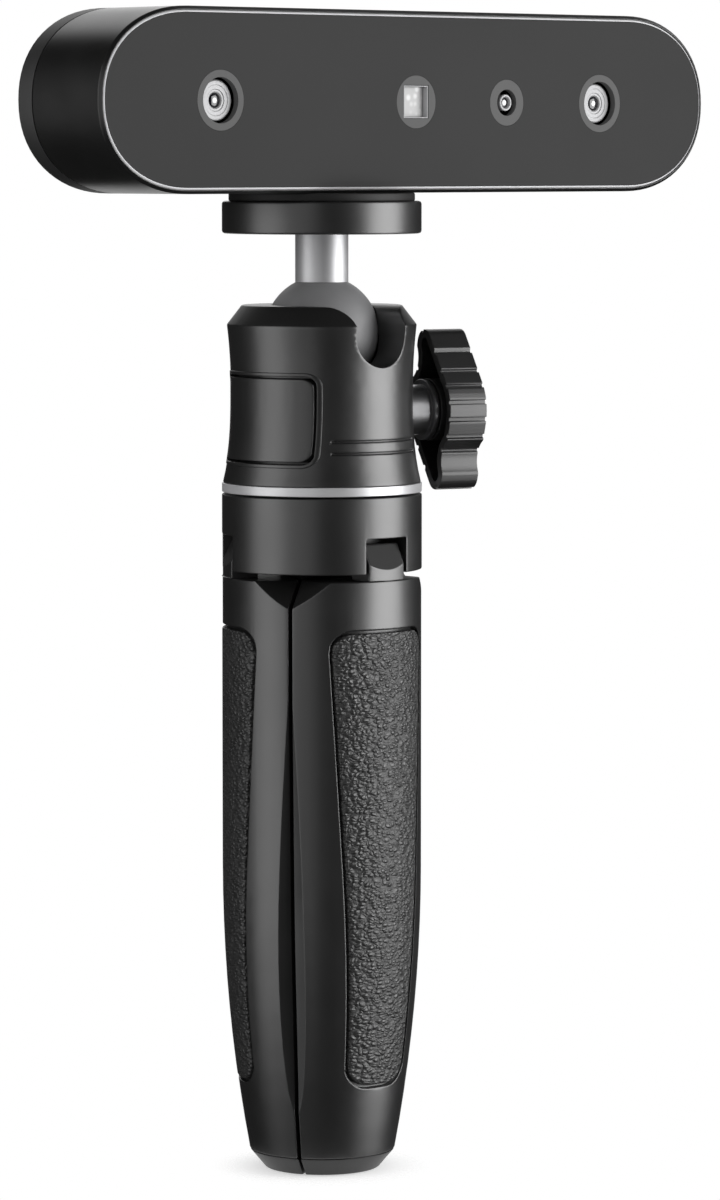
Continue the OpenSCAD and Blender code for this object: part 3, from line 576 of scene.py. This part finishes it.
END_RUN, END_POWER = 23.6, 2.17
OUTLINE_STEPS = 48
TRIM_PROFILE = ((0.79, 0.50), (0.84, 0.42), (1.18, 0.06), (1.25, 0.03), (1.25, 1.6), (0.79, 1.6))
TRIM_WELD = 1e-7
TRIM_ANGLE = 50
bar_low, bar_high = box_of("rear_cover")
bar_mid = (bar_low + bar_high) / 2
bar_front = box_of("scanner_sleeve")[0].y


def bar_outline(inset):
    """Outline of the bar, set in by some millimetres, as pairs of x and z."""
    half_x = (bar_high.x - bar_low.x) / 2 / MM
    half_z = (bar_high.z - bar_low.z) / 2 / MM
    quarter = []
    for k in range(OUTLINE_STEPS + 1):
        t = math.pi / 2 * k / OUTLINE_STEPS
        along = max(math.cos(t), 0) ** (2 / END_POWER)
        quarter.append((half_x - END_RUN + (END_RUN - inset) * along,
                        (half_z - inset) * math.sin(t) ** (2 / END_POWER)))
    points = quarter + [(-x, z) for x, z in reversed(quarter)]
    points += [(-x, -z) for x, z in quarter[1:]] + [(x, -z) for x, z in reversed(quarter[1:])]
    return [(bar_mid.x + x * MM, bar_mid.z + z * MM) for x, z in points]


bm = bmesh.new()
close_ring(bm, [[bm.verts.new((x, bar_front + depth * MM, z)) for x, z in bar_outline(inset)]
                for inset, depth in TRIM_PROFILE])
bmesh.ops.remove_doubles(bm, verts=bm.verts, dist=TRIM_WELD)
show(bm, "trim_line", "bright_trim", "scanner", ("trim_ring",), angle=TRIM_ANGLE)


# Square frame round the projector, as half width in millimetres and y

SQUARE = ((1, 1), (-1, 1), (-1, -1), (1, -1))
FRAME_HOLE, FRAME_STEP, FRAME_RIM = 3.16, 3.24, 3.40
emitter_low, emitter_high = box_of("projector_emitter")
emitter_x = (emitter_low.x + emitter_high.x) / 2
emitter_z = (emitter_low.z + emitter_high.z) / 2
window_front = box_of("front_window")[0].y
frame_top = window_front + 0.12 * MM
FRAME_PROFILE = ((FRAME_HOLE, emitter_low.y), (FRAME_HOLE, window_front + 0.25 * MM),
                 (FRAME_STEP, frame_top), (FRAME_RIM, frame_top), (FRAME_RIM, emitter_low.y))
bm = bmesh.new()
close_ring(bm, [[bm.verts.new((emitter_x + i * half * MM, y, emitter_z + k * half * MM))
                 for i, k in SQUARE] for half, y in FRAME_PROFILE])
show(bm, "projector_frame", "barrel_metal", "scanner")


# Raised border round the release button, as distance outwards and rise in millimetres

BUTTON_GAP, BUTTON_FLANGE, BUTTON_CORNER = 0.55, 1.1, 2.0
BORDER_PROFILE = ((0.02, -0.5), (0.02, 0.10), (0.09, 0.16), (0.62, 0.16), (0.80, -0.02),
                  (0.80, -0.4))
BORDER_ANGLE = 30
CORNER_STEPS, SIDE_STEPS = 8, 12
RAY_START = 0.06
bm = bmesh.new()
bm.from_mesh(nodes["ball_housing"].data)
head_tree = BVHTree.FromBMesh(bm)
bm.free()


def head_radius(z):
    """Radius of the head at a level, found on its plain back."""
    return head_tree.ray_cast(Vector((0, RAY_START, z)), Vector((0, -1, 0)))[0].y


def rounded_box(half_w, half_h, corner):
    """A rounded rectangle as points with their outward directions."""
    inner_w, inner_h = half_w - corner, half_h - corner
    points = []
    for i, (x, y) in enumerate(SQUARE):
        for k in range(CORNER_STEPS + 1):
            t = math.pi / 2 * (i + k / CORNER_STEPS)
            points.append((x * inner_w + corner * math.cos(t), y * inner_h + corner * math.sin(t),
                           math.cos(t), math.sin(t)))
        out_x, out_y = math.cos(math.pi / 2 * (i + 1)), math.sin(math.pi / 2 * (i + 1))
        next_x, next_y = SQUARE[(i + 1) % len(SQUARE)]
        for k in range(1, SIDE_STEPS):
            u = k / SIDE_STEPS
            points.append((inner_w * (x + (next_x - x) * u) + corner * out_x,
                           inner_h * (y + (next_y - y) * u) + corner * out_y, out_x, out_y))
    return points


def border_loop(bm, out, rise):
    """One loop of the border, laid on the head's curved side."""
    loop = []
    for x, z, nx, nz in rounded_box(button_half_w, button_half_h, BUTTON_CORNER):
        level = button_level + (z + nz * out) * MM
        across = (x + nx * out) * MM
        r = head_radius(level) + rise * MM
        loop.append(bm.verts.new((-math.sqrt(r * r - across * across), across, level)))
    return loop


button_low, button_high = box_of("release_button")
button_level = (button_low.z + button_high.z) / 2
button_half_w = (button_high.y - button_low.y) / 2 / MM + BUTTON_GAP
button_half_h = (button_high.z - button_low.z) / 2 / MM - BUTTON_FLANGE
bm = bmesh.new()
close_ring(bm, [border_loop(bm, out, rise) for out, rise in BORDER_PROFILE])
show(bm, "button_frame", "tripod_black", "head", angle=BORDER_ANGLE)


# Dull faces on the outer flats of the leg tongues

TONGUE_FACING = 0.8
TONGUE_SLOPE = (0.3, 0.6)
TONGUE_OUT = 0.0175
TONGUE_LOW = 0.126
TONGUE_SHARE = 0.95
TONGUE_LIFT, TONGUE_DEPTH = 0.00003, 0.0003


def is_tongue_flat(face, ahead):
    middle = face.calc_center_median()
    return (face.normal.dot(ahead) > TONGUE_FACING
            and TONGUE_SLOPE[0] < face.normal.z < TONGUE_SLOPE[1]
            and middle.dot(ahead) > TONGUE_OUT and middle.z > TONGUE_LOW)


for side, leg_turn in LEGS:
    ahead = heading(leg_turn)
    bm = bmesh.new()
    bm.from_mesh(nodes["leg_" + side].data)
    bmesh.ops.remove_doubles(bm, verts=bm.verts, dist=WELD)
    other = [f for f in bm.faces if not is_tongue_flat(f, ahead)]
    bmesh.ops.delete(bm, geom=other, context="FACES")
    middle = sum((v.co for v in bm.verts), Vector()) / len(bm.verts)
    out = sum((f.normal for f in bm.faces), Vector()).normalized()
    for v in bm.verts:
        v.co = middle + (v.co - middle) * TONGUE_SHARE + out * TONGUE_LIFT
    grown = bmesh.ops.extrude_face_region(bm, geom=bm.faces[:])
    for v in (g for g in grown["geom"] if isinstance(g, bmesh.types.BMVert)):
        v.co -= out * TONGUE_DEPTH
    show(bm, side + "_tongue_face", "pad_rubber", side + "_leg")

for name, piece in nodes.items():
    piece.data.materials.clear()
    piece.data.materials.append(MATERIALS[slot_of[name]])


# Lights

CAMERA_TURN = -42.0
CAMERA_PITCH = 4.776
# Turn from the camera's direction, distance, width, height, radiance, level of the middle
LAMPS = {
    "left_box": (-64, 0.9, 0.66, 1.05, 1.2, 0.245),
    "left_fill": (-24, 1.7, 1.10, 1.6, 0.40, 0.32),
    "right_box": (79, 0.9, 0.74, 0.95, 3.6, 0.175),
    "back_box": (180, 1.2, 0.50, 0.95, 0.8, 0.12),
}


def softbox(name, turn, distance, width, height, radiance, level):
    """A soft light that faces the tripod's axis and isn't seen itself."""
    data = bpy.data.lights.new(name, "AREA")
    data.shape = "RECTANGLE"
    data.size, data.size_y = width, height
    data.energy = radiance * math.pi * width * height
    lamp = bpy.data.objects.new(name, data)
    scene.collection.objects.link(lamp)
    lamp.visible_camera = False
    middle = Vector((0, 0, level))
    lamp.location = middle + heading(CAMERA_TURN + turn) * distance
    lamp.rotation_mode = "QUATERNION"
    lamp.rotation_quaternion = (lamp.location - middle).to_track_quat("Z", "Y")


for name, settings in LAMPS.items():
    softbox(name, *settings)


# Floor: a small disc that takes the part's shadow and fades into the white behind it

FLOOR_RADIUS = 0.030
FLOOR_DROP = 0.0002
FADE_START, FADE_END = 0.014, 0.024
FLOOR_LEVEL = 0.8
FLOOR_GLOW = 0.5
floor_mesh = bpy.data.meshes.new("floor")
bm = bmesh.new()
bmesh.ops.create_circle(bm, cap_ends=True, segments=128, radius=FLOOR_RADIUS)
bm.to_mesh(floor_mesh)
bm.free()
floor = bpy.data.objects.new("floor", floor_mesh)
scene.collection.objects.link(floor)
floor.location.z = -FLOOR_DROP
floor_material = bpy.data.materials.new("floor_white")
tree = Tree(floor_material, "ShaderNodeOutputMaterial")
plain = tree.node("ShaderNodeBsdfDiffuse")
plain.inputs["Color"].default_value = grey(FLOOR_LEVEL)
glow = tree.node("ShaderNodeEmission")
direct = tree.seen_directly()[1]
tree.link(tree.math("MULTIPLY", direct, FLOOR_GLOW), glow.inputs["Strength"])
both = tree.node("ShaderNodeAddShader")
tree.link(plain.outputs[0], both.inputs[0])
tree.link(glow.outputs[0], both.inputs[1])
mixed = tree.node("ShaderNodeMixShader")
away = tree.length(tree.coordinates("Object"))
tree.link(tree.span(away, FADE_START, FADE_END), mixed.inputs[0])
tree.link(both.outputs[0], mixed.inputs[1])
tree.link(tree.node("ShaderNodeBsdfTransparent").outputs[0], mixed.inputs[2])
tree.surface(mixed)
floor.data.materials.append(floor_material)


# World: white to the camera, dim in reflections but for one soft patch behind the part

SWEEP_RISE = 35
SWEEP_OUTER, SWEEP_INNER = 36, 15
REFLECTED_LEVEL = 0.014
AMBIENT_LEVEL = 0.5
world = bpy.data.worlds.new("studio")
scene.world = world
tree = Tree(world, "ShaderNodeOutputWorld")
back = tree.node("ShaderNodeBackground")
back.inputs["Color"].default_value = grey(1)
tree.surface(back)
camera_ray, direct = tree.seen_directly()
toward = tree.dot(tree.coordinates("Generated"), heading(CAMERA_TURN + 180, SWEEP_RISE))
sweep = tree.span(toward, math.cos(math.radians(SWEEP_OUTER)),
                  math.cos(math.radians(SWEEP_INNER)), REFLECTED_LEVEL, 1.0)
shown = tree.math("MAXIMUM", sweep, camera_ray)
tree.link(tree.mix(direct, AMBIENT_LEVEL, shown), back.inputs["Strength"])


# Camera

camera_data = bpy.data.cameras.new("camera")
camera_data.lens = 160.5
camera_data.sensor_width = 36.0
camera_data.clip_start, camera_data.clip_end = 0.05, 20.0
camera = bpy.data.objects.new("camera", camera_data)
scene.collection.objects.link(camera)
camera.location = (-0.748284, -0.843071, 0.215014)
camera.rotation_mode = "QUATERNION"
camera.rotation_quaternion = heading(CAMERA_TURN, CAMERA_PITCH).to_track_quat("Z", "Y")
scene.camera = camera
scene.view_settings.view_transform = "Standard"
